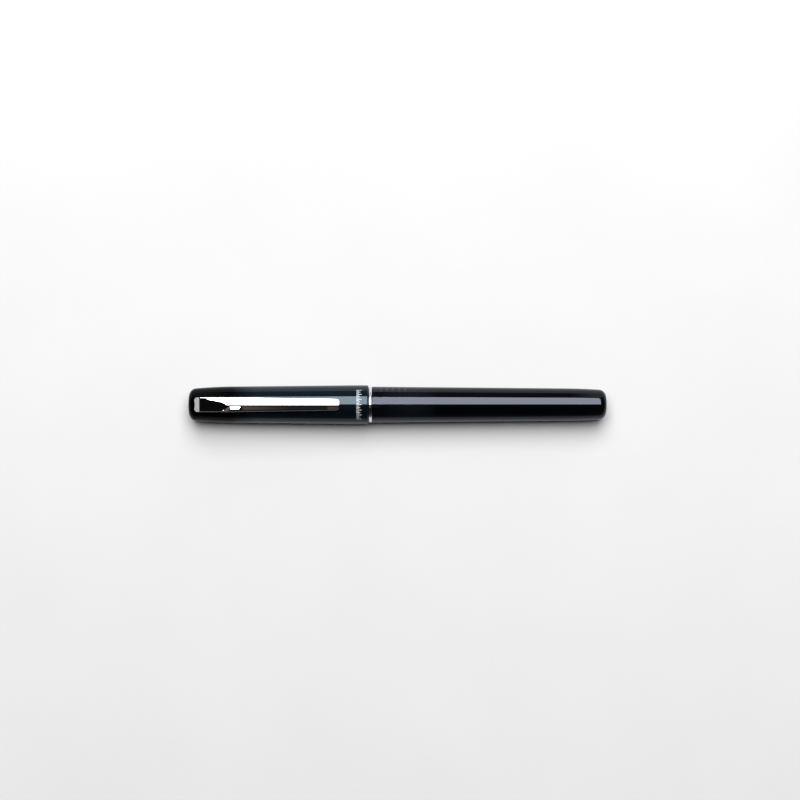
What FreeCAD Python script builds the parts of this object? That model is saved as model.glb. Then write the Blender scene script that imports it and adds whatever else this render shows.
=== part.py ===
"""Capped fountain pen with a twist converter, lying on its side with the clip on top.

The pen's axis runs along X. The cap's closed end is at -X and the barrel's closed end at +X.
Stations are distances along the axis from the cap's closed end, and every piece is built on
them with the axis at Z = 0. place() then puts it in the part's frame, whose origin lies under
the middle of the pen, on the surface that the cap's wide mouth rests on. All sizes are in mm.
"""

import FreeCAD
import Part
import math
import os

Vector = FreeCAD.Vector
AXIS = Vector(1, 0, 0)
UP = Vector(0, 0, 1)
ORIGIN = Vector(0, 0, 0)

# Whole pen
LENGTH = 138.0
END_ROUND = 2.4                  # corner radius of both closed ends
SEAT = 0.03                      # radial play between pieces that are pressed together
SLIDE = 0.1                      # radial play between pieces that slide by hand
PLAY = 0.05                      # end play between neighbouring pieces
BREAK = 0.3                      # usual bevel on a turned or moulded edge
SLIT = 0.12                      # width of the nib's slit

# Cap
CAP_LENGTH = 59.4
CAP_RADIUS = 6.45
CAP_END_RADIUS = 5.42
CAP_END_DRAFT = 4.7              # degrees that the cap's wall leans in where its end corner starts
CAP_SHOULDER = ((8.2, 5.83), (14.0, 6.02))
CAP_BAND_START = 55.4            # from here to the mouth the cap is a plain cylinder
CAP_END_WALL = 2.4
CAP_PLUG_END = 12.0              # the narrow pocket for the retainer ends here
CAP_STOP = 15.7                  # middle of the bead that stops the inner cap
CAP_GUIDE_END = 40.0             # the inner cap's guide ends and the wider mouth starts here
CAP_SNAP = 56.05                 # middle of the bead that snaps on the section
MOUTH_ROUND = 0.5
CAP_SEAM_TURN = 2.5              # degrees; a flat of the cap's mesh, and not a ridge, faces straight down

# Inner cap and its spring
RETAINER_RADIUS = 3.9
RETAINER_END = 9.0
INNER_CAP_BACK = 13.6
INNER_CAP_RADIUS = 4.45
INNER_CAP_FLANGE = 4.7
INNER_CAP_BORE = 3.75
INNER_CAP_LIP = 3.45
INNER_CAP_WALL = 1.2             # thickness of its end, and radius of its spigot
SPIGOT_LENGTH = 1.5
SPRING_RADIUS = 2.4
SPRING_WIRE = 0.5
SPRING_TURNS = 3.5
SPRING_STEPS = 12                # pieces that one turn of the spring is made of

# Clip
CLIP_END = 49.9
CLIP_ROOT_WIDTH = 4.9
CLIP_TIP_WIDTH = 3.8
CLIP_THICKNESS = 0.65
CLIP_CORNER = 1.1                # corner radius of the tip, seen from above
CLIP_BEND = 0.45                 # radius that the strip is bent to, at its middle
CLIP_CROWN_RADIUS = 9.3          # the bar's top is round across its width
CLIP_BAR_START = 13.6
CLIP_HEAD_TOP = 7.3
CLIP_BAR_TOP = 7.65
CLIP_TIP_TOP = 7.4
CLIP_FOOT = (2.6, 3.7)           # station and height of the clip's foot, where it flexes
CLIP_FOOT_LENGTH = 2.4
CLIP_KNEE = (2.25, 4.85)         # where the upright leg bends back into the sloping front
CLIP_HEAD_START = 4.33
CLIP_HEAD_END = 12.1
CLIP_FRONT = 1.65                # the front edge is an arc in plan, from here at the middle
CLIP_SHOULDER = 2.85             # to here at the full width
CLIP_PLAY = 0.12
CLIP_LEAN = 0.5                  # more room before the leg, for its lean, and behind its slope
BOSS_STATION = 46.6
BOSS_RADIUS = 1.2

# Grip section, nib and feed
SECTION_FRONT = 39.2
SECTION_LIP = 4.2
SECTION_COLLAR = 5.05
SECTION_END = 72.2
SECTION_WAIST = (46.0, 4.28)     # the grip is narrow up to here and then widens to its collar
SECTION_STEP = 57.0              # the collar starts, and the bore for nib and feed ends
SECTION_FLOOR = 59.8             # bottom of the converter's socket
SECTION_BORE = 3.25
NIPPLE_RADIUS = 2.0
NIPPLE_END = 66.0
NIPPLE_BORE = 1.1
NIB_TIP = 20.8
NIB_SHEET = 0.25
NIB_SHOULDER = 36.0
NIB_TAIL = 47.0
NIB_TIP_RADIUS = 1.75
NIB_TIP_HALF = 0.4
NIB_HALF = 2.95
BREATHER = 32.0
BREATHER_RADIUS = 0.55
PELLET_RADIUS = 0.42
FEED_TIP = 24.5
FEED_CORE = 1.15
FIN_RUN = (26.9, 55.0)
FIN_PITCH = 0.8
FIN_GROOVE = 0.4

# Trim ring, barrel and the thread between section and barrel
RING_START = 59.55
RING_WIDTH = 0.9
BARREL_START = RING_START + RING_WIDTH + 0.05
BARREL_RADIUS = 5.98
BARREL_TAIL = ((124.0, 5.4), (130.4, 5.26))
BARREL_END_RADIUS = 4.98
BARREL_END_DRAFT = 4.0           # degrees that the wall leans in where the end corner starts
BARREL_BORE = 4.95
BARREL_INNER_END = 134.6
THREAD_CORE = 4.45
THREAD_DEPTH = 0.4
THREAD_LEAD = 6.0
THREAD_STARTS = 3
THREAD_WIDTH = 0.7
THREAD_RUN = (61.4, 71.0)        # first and last station of both threads

# Converter
TUBE_FRONT = 60.7
TUBE_RADIUS = 3.65
TUBE_BORE = 2.75
TUBE_END = 97.0
COLLAR_FRONT = 88.0
COLLAR_END = 104.2
COLLAR_RADIUS = 3.9
COLLAR_LIP = 3.0                 # radius of the hole that keeps the knob's flange in
GUIDE_END = 101.0
KNOB_END = 122.3
KNOB_RADIUS = 3.7
KNOB_BORE = 2.5
KNOB_FLANGE = 3.5
KNOB_WALL = 1.8                  # thickness of the end that holds the spindle
KNOB_FLUTES = 20
FLUTE_RADIUS = 0.28
SEAL_START = 91.0
SEAL_LENGTH = 4.4
ROD_RADIUS = 2.1
ROD_BORE = 1.45
ROD_FLAT = 1.75                  # half the rod's width across its flats
ROD_PLAY = 0.08
ROD_END = 119.4
SEAL_LIP = 0.6                   # width of each wiping lip
NUT_LENGTH = 1.1
SPINDLE_CORE = 0.95
SPINDLE_START = 98.5             # station where its thread starts
SPINDLE_LEAD = 4.0
SPINDLE_STARTS = 2


# Shapes used by several pieces

def arc_about(centre, start, end):
    """A step for turned() that goes from start to end on the circle round centre."""
    reach = math.dist(centre, start)
    middle = [(a + b) / 2 - c for a, b, c in zip(start, end, centre)]
    scale = reach / math.hypot(*middle)
    return ((centre[0] + middle[0] * scale, centre[1] + middle[1] * scale), end)


def end_corner(side, face, radius, draft):
    """The rounded corner of a closed end: its two ends, at the face and the wall, and its arc.

    side is 1 when the pen lies on the +X side of the face, and -1 when it lies on the other.
    """
    centre = (face + side * END_ROUND, radius - END_ROUND)
    lean = math.radians(draft)
    at_face = (face, centre[1])
    at_wall = (centre[0] - side * END_ROUND * math.sin(lean), centre[1] + END_ROUND * math.cos(lean))
    return centre, at_face, at_wall


def outline(start, *steps):
    """A closed wire of (station, height) points. A step is a point, or (middle, end) of an arc."""
    edges = []
    here = Vector(start[0], 0, start[1])
    for step in (*steps, start):
        curved = isinstance(step[0], tuple)
        end = step[1] if curved else step
        there = Vector(end[0], 0, end[1])
        if (there - here).Length < 1e-6:
            continue
        if curved:
            middle = Vector(step[0][0], 0, step[0][1])
            edges.append(Part.Arc(here, middle, there).toShape())
        else:
            edges.append(Part.LineSegment(here, there).toShape())
        here = there
    return Part.Wire(edges)


def turned(start, *steps):
    """The solid made by turning an outline about the pen's axis."""
    return Part.Face(outline(start, *steps)).revolve(ORIGIN, AXIS, 360)


def rod(radius, start, end):
    return Part.makeCylinder(radius, end - start, Vector(start, 0, 0), AXIS)


def block(start, end, y_low, y_high, z_low, z_high):
    size = (end - start, y_high - y_low, z_high - z_low)
    return Part.makeBox(*size, Vector(start, y_low, z_low))


def around(shape, count):
    """Copies of a shape, evenly spaced about the pen's axis."""
    copies = []
    for i in range(count):
        copy = shape.copy()
        copy.rotate(ORIGIN, AXIS, 360.0 * i / count)
        copies.append(copy)
    return copies


def coil(section, radius, lead, length, start):
    """A closed section swept right-handed round the pen's axis, from a station."""
    helix = Part.makeHelix(lead, length, radius)
    swept = Part.Wire(helix).makePipeShell([section], True, True)
    swept.rotate(ORIGIN, Vector(0, 1, 0), 90)
    swept.translate(Vector(start, 0, 0))
    return swept


def thread(foot, crest, width, lead, starts, run, phase=0.0):
    """Ridges of a screw thread from radius foot to crest, phase being a share of the ridge pitch."""
    taper = 0.25 * abs(crest - foot)
    corners = [(foot, -width / 2), (crest, taper - width / 2), (crest, width / 2 - taper), (foot, width / 2)]
    points = [Vector(r, 0, z) for r, z in corners]
    section = Part.makePolygon([*points, points[0]])
    ridge = coil(section, foot, lead, run[1] - run[0], run[0])
    ridge.rotate(ORIGIN, AXIS, 360.0 * phase / starts)
    return around(ridge, starts)


def bent_path(points, radius):
    """Straight runs through points in the pen's upright plane, joined by tangent arcs."""
    corners = [Vector(s, 0, z) for s, z in points]
    edges = []
    here = corners[0]
    for before, corner, after in zip(corners, corners[1:], corners[2:]):
        arriving = (corner - before).normalize()
        leaving = (after - corner).normalize()
        turn = arriving.getAngle(leaving)
        cut = radius * math.tan(turn / 2)
        first = corner - arriving * cut
        last = corner + leaving * cut
        inward = (leaving - arriving).normalize()
        middle = corner + inward * (radius / math.cos(turn / 2) - radius)
        edges.append(Part.LineSegment(here, first).toShape())
        edges.append(Part.Arc(first, middle, last).toShape())
        here = last
    edges.append(Part.LineSegment(here, corners[-1]).toShape())
    return Part.Wire(edges)


# Cap

def cap_outside():
    """The cap's outer solid, with no bore: a rounded end, a shoulder, a long taper and a band."""
    centre, at_face, at_wall = end_corner(1, 0, CAP_END_RADIUS, CAP_END_DRAFT)
    return turned(
        (0, 0),
        at_face,
        arc_about(centre, at_face, at_wall),
        CAP_SHOULDER,
        (CAP_BAND_START, CAP_RADIUS),
        (CAP_LENGTH - MOUTH_ROUND, CAP_RADIUS),
        arc_about(
            (CAP_LENGTH - MOUTH_ROUND, CAP_RADIUS - MOUTH_ROUND),
            (CAP_LENGTH - MOUTH_ROUND, CAP_RADIUS),
            (CAP_LENGTH, CAP_RADIUS - MOUTH_ROUND),
        ),
        (CAP_LENGTH, 0),
    )


def clip_slot():
    """The space for the clip's leg and foot in the cap, with room for the leg to lean."""
    station, height = CLIP_FOOT
    half = CLIP_ROOT_WIDTH / 2 + CLIP_PLAY
    sheet = CLIP_THICKNESS / 2 + CLIP_PLAY
    foot_end = station + CLIP_FOOT_LENGTH + CLIP_PLAY
    front, back = station - sheet - CLIP_LEAN, station + sheet + CLIP_LEAN
    leg = block(front, back, -half, half, height - sheet, CAP_RADIUS)
    foot = block(station - sheet, foot_end, -half, half, height - sheet - 0.1, height + sheet + 0.1)
    return leg.fuse(foot)


def cap_shell():
    """The moulded cap, with a bead that stops the inner cap and one that snaps on the section."""
    guide = INNER_CAP_FLANGE + SLIDE
    mouth = SECTION_COLLAR + SLIDE
    bore = turned(
        (CAP_END_WALL, 0),
        (CAP_END_WALL, RETAINER_RADIUS + SEAT),
        (CAP_PLUG_END, RETAINER_RADIUS + SEAT),
        (CAP_PLUG_END, guide),
        (CAP_STOP - 0.5, guide),
        (CAP_STOP - 0.2, INNER_CAP_RADIUS + SLIDE),
        (CAP_STOP + 0.2, INNER_CAP_RADIUS + SLIDE),
        (CAP_STOP + 0.5, guide),
        (CAP_GUIDE_END, guide),
        (CAP_GUIDE_END + 0.4, mouth),
        (CAP_SNAP - 0.45, mouth),
        (CAP_SNAP - 0.15, mouth - PLAY),
        (CAP_SNAP + 0.15, mouth - PLAY),
        (CAP_SNAP + 0.45, mouth),
        (CAP_LENGTH - BREAK, mouth),
        (CAP_LENGTH + 0.1, mouth + 0.4),
        (CAP_LENGTH + 0.1, 0),
    )
    outside = cap_outside()
    outside.rotate(ORIGIN, AXIS, CAP_SEAM_TURN)
    return outside.cut([bore, clip_slot()])


def clip_retainer():
    """The plug pressed into the cap's end. It traps the clip's foot and seats the spring."""
    post = 1.3
    start = CAP_END_WALL + PLAY
    plug = turned(
        (start, 0),
        (start, RETAINER_RADIUS - BREAK),
        (start + BREAK, RETAINER_RADIUS),
        (RETAINER_END, RETAINER_RADIUS),
        (RETAINER_END, post),
        (RETAINER_END + 1.3, post - 0.15),
        (RETAINER_END + 1.3, 0),
    )
    return plug.cut(clip_slot())


def inner_cap_spring():
    """Open coil spring between the retainer and the back of the inner cap."""
    play = 0.02
    start = RETAINER_END + SPRING_WIRE / 2 + play
    lead = (INNER_CAP_BACK - RETAINER_END - SPRING_WIRE - 2 * play) / SPRING_TURNS
    slope = Vector(0, 2 * math.pi * SPRING_RADIUS, lead)
    section = Part.Wire(Part.makeCircle(SPRING_WIRE / 2, Vector(SPRING_RADIUS, 0, 0), slope))
    step = coil(section, SPRING_RADIUS, lead, lead / SPRING_STEPS, start)
    pieces = []
    for i in range(round(SPRING_TURNS * SPRING_STEPS)):
        piece = step.copy()
        piece.rotate(ORIGIN, AXIS, 360.0 * i / SPRING_STEPS)
        piece.translate(AXIS * (lead * i / SPRING_STEPS))
        pieces.append(piece)
    return pieces[0].fuse(pieces[1:])


def inner_cap():
    """The cup that closes round the nib, with a flange behind and a sealing lip in front."""
    front = SECTION_FRONT - PLAY
    floor = INNER_CAP_BACK + INNER_CAP_WALL
    corner = 1.0
    return turned(
        (INNER_CAP_BACK - SPIGOT_LENGTH, 0),
        (INNER_CAP_BACK - SPIGOT_LENGTH, INNER_CAP_WALL - 0.15),
        (INNER_CAP_BACK, INNER_CAP_WALL),
        (INNER_CAP_BACK, INNER_CAP_FLANGE - 0.2),
        (INNER_CAP_BACK + 0.2, INNER_CAP_FLANGE),
        (INNER_CAP_BACK + 1.4, INNER_CAP_FLANGE),
        (INNER_CAP_BACK + 1.6, INNER_CAP_RADIUS),
        (front - 0.5, INNER_CAP_RADIUS),
        (front, INNER_CAP_RADIUS - 0.25),
        (front, INNER_CAP_LIP),
        (front - 0.6, INNER_CAP_LIP),
        (front - 1.1, INNER_CAP_BORE),
        (floor + corner, INNER_CAP_BORE),
        arc_about(
            (floor + corner, INNER_CAP_BORE - corner),
            (floor + corner, INNER_CAP_BORE),
            (floor, INNER_CAP_BORE - corner),
        ),
        (floor, 0),
    )


def clip_plan():
    """The clip seen from above, as an upright prism: a rounded front and a taper to a rounded tip."""
    root, tip = CLIP_ROOT_WIDTH / 2, CLIP_TIP_WIDTH / 2
    straight_end = CLIP_END - CLIP_CORNER
    flat = tip - CLIP_CORNER
    diagonal = CLIP_CORNER * math.sqrt(0.5)
    left = [Vector(CLIP_SHOULDER, root, 0), Vector(CLIP_BAR_START, root, 0), Vector(straight_end, tip, 0)]
    right = [Vector(p.x, -p.y, 0) for p in reversed(left)]
    near = Part.Arc(left[-1], Vector(straight_end + diagonal, flat + diagonal, 0), Vector(CLIP_END, flat, 0))
    far = Part.Arc(Vector(CLIP_END, -flat, 0), Vector(straight_end + diagonal, -flat - diagonal, 0), right[0])
    edges = [
        Part.makePolygon(left),
        near.toShape(),
        Part.makeLine(Vector(CLIP_END, flat, 0), Vector(CLIP_END, -flat, 0)),
        far.toShape(),
        Part.makePolygon(right),
        Part.Arc(right[-1], Vector(CLIP_FRONT, 0, 0), left[0]).toShape(),
    ]
    flat_edges = [edge for shape in edges for edge in shape.Edges]
    return Part.Face(Part.Wire(flat_edges)).extrude(UP * 2 * CAP_RADIUS)


def above_crown():
    """The space over the clip's bar, whose top is a long cylinder that dips towards the tip."""
    dip = Vector(CLIP_END - CLIP_BAR_START, 0, CLIP_TIP_TOP - CLIP_BAR_TOP)
    skim = 0.02
    axis_start = Vector(CLIP_BAR_START, 0, CLIP_BAR_TOP - skim - CLIP_CROWN_RADIUS)
    round_top = Part.makeCylinder(CLIP_CROWN_RADIUS, 2 * dip.Length, axis_start - dip * 0.5, dip)
    low = CLIP_TIP_TOP - CLIP_THICKNESS / 2
    wide = CLIP_ROOT_WIDTH
    return block(CLIP_BAR_START, CLIP_END + 1, -wide, wide, low, CLIP_BAR_TOP + 1).cut(round_top)


def clip():
    """Spring clip bent from one strip: foot, leg, sloping front, flat head and a crowned bar."""
    station, height = CLIP_FOOT
    sheet = CLIP_THICKNESS / 2
    foot_end = station + CLIP_FOOT_LENGTH
    path = bent_path(
        [
            (foot_end, height),
            (station, height),
            CLIP_KNEE,
            (CLIP_HEAD_START, CLIP_HEAD_TOP - sheet),
            (CLIP_HEAD_END, CLIP_HEAD_TOP + 0.1 - sheet),
            (CLIP_HEAD_END + 2.2, CLIP_BAR_TOP - sheet),
            (46.0, CLIP_TIP_TOP - sheet),
            (CLIP_END, CLIP_TIP_TOP + 0.05 - sheet),
        ],
        CLIP_BEND,
    )
    half = CLIP_ROOT_WIDTH / 2
    sides = [(-half, -sheet), (half, -sheet), (half, sheet), (-half, sheet)]
    corners = [Vector(foot_end, y, height + z) for y, z in sides]
    strip = Part.makePolygon([*corners, corners[0]])
    bent = path.makePipeShell([strip], True, False).common(clip_plan())
    ball = Part.makeSphere(BOSS_RADIUS, Vector(BOSS_STATION, 0, CAP_RADIUS + PLAY + BOSS_RADIUS))
    start, end = BOSS_STATION - BOSS_RADIUS, BOSS_STATION + BOSS_RADIUS
    boss = ball.common(block(start, end, -BOSS_RADIUS, BOSS_RADIUS, CAP_RADIUS, CLIP_TIP_TOP - sheet))
    return bent.cut(above_crown()).fuse(boss)


# Writing unit

def grip_section():
    """Grip with the threaded spigot for the barrel, and the nipple that the converter fits."""
    neck = THREAD_CORE + THREAD_DEPTH
    cavity = TUBE_RADIUS + 0.15
    lip = (SECTION_FRONT, SECTION_LIP - BREAK)
    lip_end = (SECTION_FRONT + BREAK, SECTION_LIP)
    body = turned(
        (SECTION_FRONT, SECTION_BORE),
        lip,
        arc_about((lip_end[0], lip[1]), lip, lip_end),
        (SECTION_WAIST, (SECTION_STEP - 0.1, SECTION_COLLAR - 0.15)),
        (SECTION_STEP + 0.1, SECTION_COLLAR),
        (RING_START - PLAY, SECTION_COLLAR),
        (RING_START - PLAY, neck),
        (THREAD_RUN[0] - 2 * BREAK, neck),
        (THREAD_RUN[0] - BREAK, THREAD_CORE),
        (SECTION_END - 0.4, THREAD_CORE),
        (SECTION_END, THREAD_CORE - 0.35),
        (SECTION_END, cavity),
        (SECTION_FLOOR, cavity),
        (SECTION_FLOOR, NIPPLE_RADIUS),
        (NIPPLE_END - 2 * BREAK, NIPPLE_RADIUS),
        (NIPPLE_END, NIPPLE_RADIUS - BREAK),
        (NIPPLE_END, NIPPLE_BORE),
        (SECTION_STEP, NIPPLE_BORE),
        (SECTION_STEP, SECTION_BORE),
    )
    ridges = thread(THREAD_CORE - 0.1, neck, THREAD_WIDTH, THREAD_LEAD, THREAD_STARTS, THREAD_RUN)
    return body.fuse(ridges)


def nib():
    """Stamped steel nib: a cone that narrows to the point, with a slit and a breather hole."""
    outer = SECTION_BORE - SEAT
    inner = outer - NIB_SHEET
    blank = turned(
        (NIB_TIP, NIB_TIP_RADIUS - NIB_SHEET),
        (NIB_TIP, NIB_TIP_RADIUS),
        (NIB_SHOULDER, outer),
        (NIB_TAIL, outer),
        (NIB_TAIL, inner),
        (NIB_SHOULDER, inner),
    )
    low = 0.4
    side = [(NIB_TIP, NIB_TIP_HALF), (33.0, 2.6), (35.0, NIB_HALF), (NIB_TAIL, NIB_HALF)]
    plan = [Vector(s, y, low) for s, y in side] + [Vector(s, -y, low) for s, y in reversed(side)]
    prism = Part.Face(Part.makePolygon([*plan, plan[0]])).extrude(UP * outer)
    hole = Part.makeCylinder(BREATHER_RADIUS, outer, Vector(BREATHER, 0, low), UP)
    slit = block(NIB_TIP - 1, BREATHER, -SLIT / 2, SLIT / 2, low, outer)
    return blank.common(prism).cut([hole, slit, *tipping().Solids])


def tipping():
    """The hard pellet welded under the nib's point, split in two by the slit."""
    ball = Part.makeSphere(PELLET_RADIUS, Vector(NIB_TIP + 0.1, 0, NIB_TIP_RADIUS - NIB_SHEET))
    return ball.cut(block(NIB_TIP - 2, NIB_TIP + 2, -SLIT / 2, SLIT / 2, 0, 2 * NIB_TIP_RADIUS))


def feed():
    """Ink feed under the nib, with comb fins below, a channel on top and a tail in the nipple."""
    inner = SECTION_BORE - SEAT - NIB_SHEET - 0.02
    under_tip = NIB_TIP_RADIUS - NIB_SHEET
    slope = (inner - under_tip) / (NIB_SHOULDER - NIB_TIP)
    front = under_tip + slope * (FEED_TIP - NIB_TIP) - 0.06
    back = SECTION_STEP - 0.2
    tail = NIPPLE_BORE - 0.08
    body = turned(
        (FEED_TIP, 0),
        (FEED_TIP, front),
        (NIB_SHOULDER, inner),
        (back, inner),
        (back, tail),
        (NIPPLE_END - 1.5, tail),
        (NIPPLE_END - 0.5, tail / 2),
        (NIPPLE_END - 0.5, 0),
    )
    grooves = []
    for i in range(math.ceil((FIN_RUN[1] - FIN_RUN[0]) / FIN_PITCH)):
        start = FIN_RUN[0] + i * FIN_PITCH
        end = start + FIN_GROOVE
        groove = rod(inner + 1, start, end).cut(rod(FEED_CORE, start, end))
        grooves.append(groove.common(block(start, end, -5, 5, -5, 0.35)))
    channel = block(FEED_TIP - 1, SECTION_STEP - 1, -0.15, 0.15, 0.9, inner + 1)
    return body.cut([*grooves, channel])


# Trim ring and barrel

def trim_ring():
    """Bright ring trapped between the cap's mouth and the barrel."""
    end = RING_START + RING_WIDTH
    inside = THREAD_CORE + THREAD_DEPTH + PLAY
    soft = 0.15
    low = BARREL_RADIUS - soft
    front, back = RING_START + soft, end - soft
    return turned(
        (RING_START, inside),
        (RING_START, low),
        arc_about((front, low), (RING_START, low), (front, BARREL_RADIUS)),
        (back, BARREL_RADIUS),
        arc_about((back, low), (back, BARREL_RADIUS), (end, low)),
        (end, inside),
    )


def barrel():
    """Barrel, open at the section and closed behind, with a thread in its mouth."""
    centre, at_face, at_wall = end_corner(-1, LENGTH, BARREL_END_RADIUS, BARREL_END_DRAFT)
    soft, corner = 0.12, 1.3
    bore = 3.9
    floor = (BARREL_INNER_END, bore - corner)
    body = turned(
        (BARREL_START, BARREL_BORE),
        (BARREL_START, BARREL_RADIUS - soft),
        (BARREL_START + soft, BARREL_RADIUS),
        BARREL_TAIL[0],
        (BARREL_TAIL[1], at_wall),
        arc_about(centre, at_wall, at_face),
        (LENGTH, 0),
        (BARREL_INNER_END, 0),
        floor,
        arc_about((floor[0] - corner, floor[1]), floor, (floor[0] - corner, bore)),
        (THREAD_RUN[1] + 5, THREAD_CORE - 0.1),
        (THREAD_RUN[1] + 2, BARREL_BORE),
    )
    crest = BARREL_BORE - THREAD_DEPTH
    ridges = thread(BARREL_BORE + 0.1, crest, THREAD_WIDTH, THREAD_LEAD, THREAD_STARTS, THREAD_RUN, 0.5)
    return body.fuse(ridges)


# Converter

def converter_tube():
    """Clear ink tube, with a socket in front for the section's nipple."""
    socket = NIPPLE_RADIUS + SEAT
    return turned(
        (TUBE_FRONT, socket + BREAK),
        (TUBE_FRONT, TUBE_RADIUS - BREAK),
        (TUBE_FRONT + BREAK, TUBE_RADIUS),
        (TUBE_END, TUBE_RADIUS),
        (TUBE_END, TUBE_BORE),
        (NIPPLE_END + 1.2, TUBE_BORE),
        (NIPPLE_END + 0.4, socket),
        (TUBE_FRONT + BREAK, socket),
    )


def converter_collar():
    """Plated sleeve that joins the tube to the knob."""
    inside = TUBE_RADIUS + SEAT
    bevel, lip = 0.1, 0.6
    return turned(
        (COLLAR_FRONT, inside),
        (COLLAR_FRONT, COLLAR_RADIUS - bevel),
        (COLLAR_FRONT + bevel, COLLAR_RADIUS),
        (COLLAR_END - bevel, COLLAR_RADIUS),
        (COLLAR_END, COLLAR_RADIUS - bevel),
        (COLLAR_END, COLLAR_LIP),
        (COLLAR_END - lip, COLLAR_LIP),
        (COLLAR_END - lip, inside),
    )


def converter_guide():
    """Plastic insert whose flats let the piston rod slide but not turn."""
    body = rod(TUBE_RADIUS, TUBE_END + PLAY, GUIDE_END)
    hole = rod(ROD_RADIUS + ROD_PLAY, TUBE_END, GUIDE_END + 1)
    half = ROD_FLAT + ROD_PLAY
    flats = block(TUBE_END, GUIDE_END + 1, -half, half, -TUBE_RADIUS, TUBE_RADIUS)
    return body.cut(hole.common(flats))


def converter_knob():
    """Long hollow knob with flutes for the fingers and a flanged journal in the collar."""
    face = COLLAR_END + 0.1
    journal = COLLAR_LIP - 0.08
    floor = KNOB_END - KNOB_WALL
    body = turned(
        (GUIDE_END + 0.1, KNOB_BORE),
        (GUIDE_END + 0.1, KNOB_FLANGE),
        (COLLAR_END - 0.8, KNOB_FLANGE),
        (COLLAR_END - 0.8, journal),
        (face, journal),
        (face, KNOB_RADIUS - BREAK),
        (face + BREAK, KNOB_RADIUS),
        (KNOB_END - 0.5, KNOB_RADIUS),
        (KNOB_END, KNOB_RADIUS - 0.5),
        (KNOB_END, SPINDLE_CORE + SEAT),
        (floor, SPINDLE_CORE + SEAT),
        (floor, KNOB_BORE),
    )
    flute = rod(FLUTE_RADIUS, face + 1.2, KNOB_END - 1.4)
    flute.translate(UP * (KNOB_RADIUS + PLAY))
    return body.cut(around(flute, KNOB_FLUTES))


def converter_spindle():
    """Screw fixed in the knob. Its two-start thread drives the piston rod."""
    run = (SPINDLE_START, KNOB_END - 2.2)
    core = rod(SPINDLE_CORE, SPINDLE_START - 0.7, KNOB_END - 0.2)
    ridges = thread(SPINDLE_CORE - 0.1, ROD_BORE - 0.1, 0.7, SPINDLE_LEAD, SPINDLE_STARTS, run)
    return core.fuse(ridges)


def piston_rod():
    """Flat-sided tube that runs over the spindle, with a short inner thread as its nut."""
    start = SEAL_START + 2.0
    body = rod(ROD_RADIUS, start, ROD_END)
    body = body.common(block(start, ROD_END, -ROD_FLAT, ROD_FLAT, -ROD_RADIUS, ROD_RADIUS))
    body = body.cut(rod(ROD_BORE, start + 2.4, ROD_END + 1))
    run = (ROD_END - 0.5 - NUT_LENGTH, ROD_END - 0.5)
    # the nut's ridges lie half way between the spindle's
    offset = (run[0] - SPINDLE_START) / (SPINDLE_LEAD / SPINDLE_STARTS)
    nut = thread(ROD_BORE + 0.1, SPINDLE_CORE + 0.12, 0.6, SPINDLE_LEAD, SPINDLE_STARTS, run, offset + 0.5)
    return body.fuse(nut)


def piston_seal():
    """Soft plunger with two wiping lips, pushed over the front of the rod."""
    wipe, waist = TUBE_BORE - 0.04, TUBE_BORE - 0.45
    end = SEAL_START + SEAL_LENGTH
    body = turned(
        (SEAL_START, 0),
        (SEAL_START, wipe - 0.5),
        (SEAL_START + SEAL_LIP, wipe),
        (SEAL_START + 2 * SEAL_LIP, wipe),
        (SEAL_START + 2 * SEAL_LIP + 0.4, waist),
        (end - 2 * SEAL_LIP - 0.4, waist),
        (end - 2 * SEAL_LIP, wipe),
        (end - BREAK, wipe),
        (end, wipe - BREAK),
        (end, 0),
    )
    return body.cut(rod(ROD_RADIUS + SEAT, SEAL_START + 1.95, end + 1))


PIECES = {
    "cap_shell": cap_shell,
    "clip_retainer": clip_retainer,
    "inner_cap_spring": inner_cap_spring,
    "inner_cap": inner_cap,
    "clip": clip,
    "grip_section": grip_section,
    "nib": nib,
    "nib_tipping": tipping,
    "feed": feed,
    "trim_ring": trim_ring,
    "barrel": barrel,
    "converter_tube": converter_tube,
    "converter_collar": converter_collar,
    "converter_guide": converter_guide,
    "converter_knob": converter_knob,
    "converter_spindle": converter_spindle,
    "piston_rod": piston_rod,
    "piston_seal": piston_seal,
}


def place(shape):
    """Moves a piece from its stations to the part's frame."""
    placed = shape.copy()
    placed.translate(Vector(-LENGTH / 2, 0, CAP_RADIUS))
    return placed


def main():
    os.makedirs("parts", exist_ok=True)
    for name, make in PIECES.items():
        shape = place(make())
        solids = shape.Solids
        state = "valid" if shape.isValid() else "INVALID"
        print(name, len(solids), "solid", round(shape.Volume, 2), "mm3", state)
        whole = solids[0] if len(solids) == 1 else Part.makeCompound(solids)
        whole.exportStep(f"parts/{name}.step")


main()
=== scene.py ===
"""Looks of a capped fountain pen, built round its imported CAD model.

The pen lies along X with its clip on top. Shapes are worked out in millimetres: a station is the
distance along the pen's axis from the cap's closed end, and point() turns a station, a sideways
distance and a height over the axis into the frame's metres.
"""

import math

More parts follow.
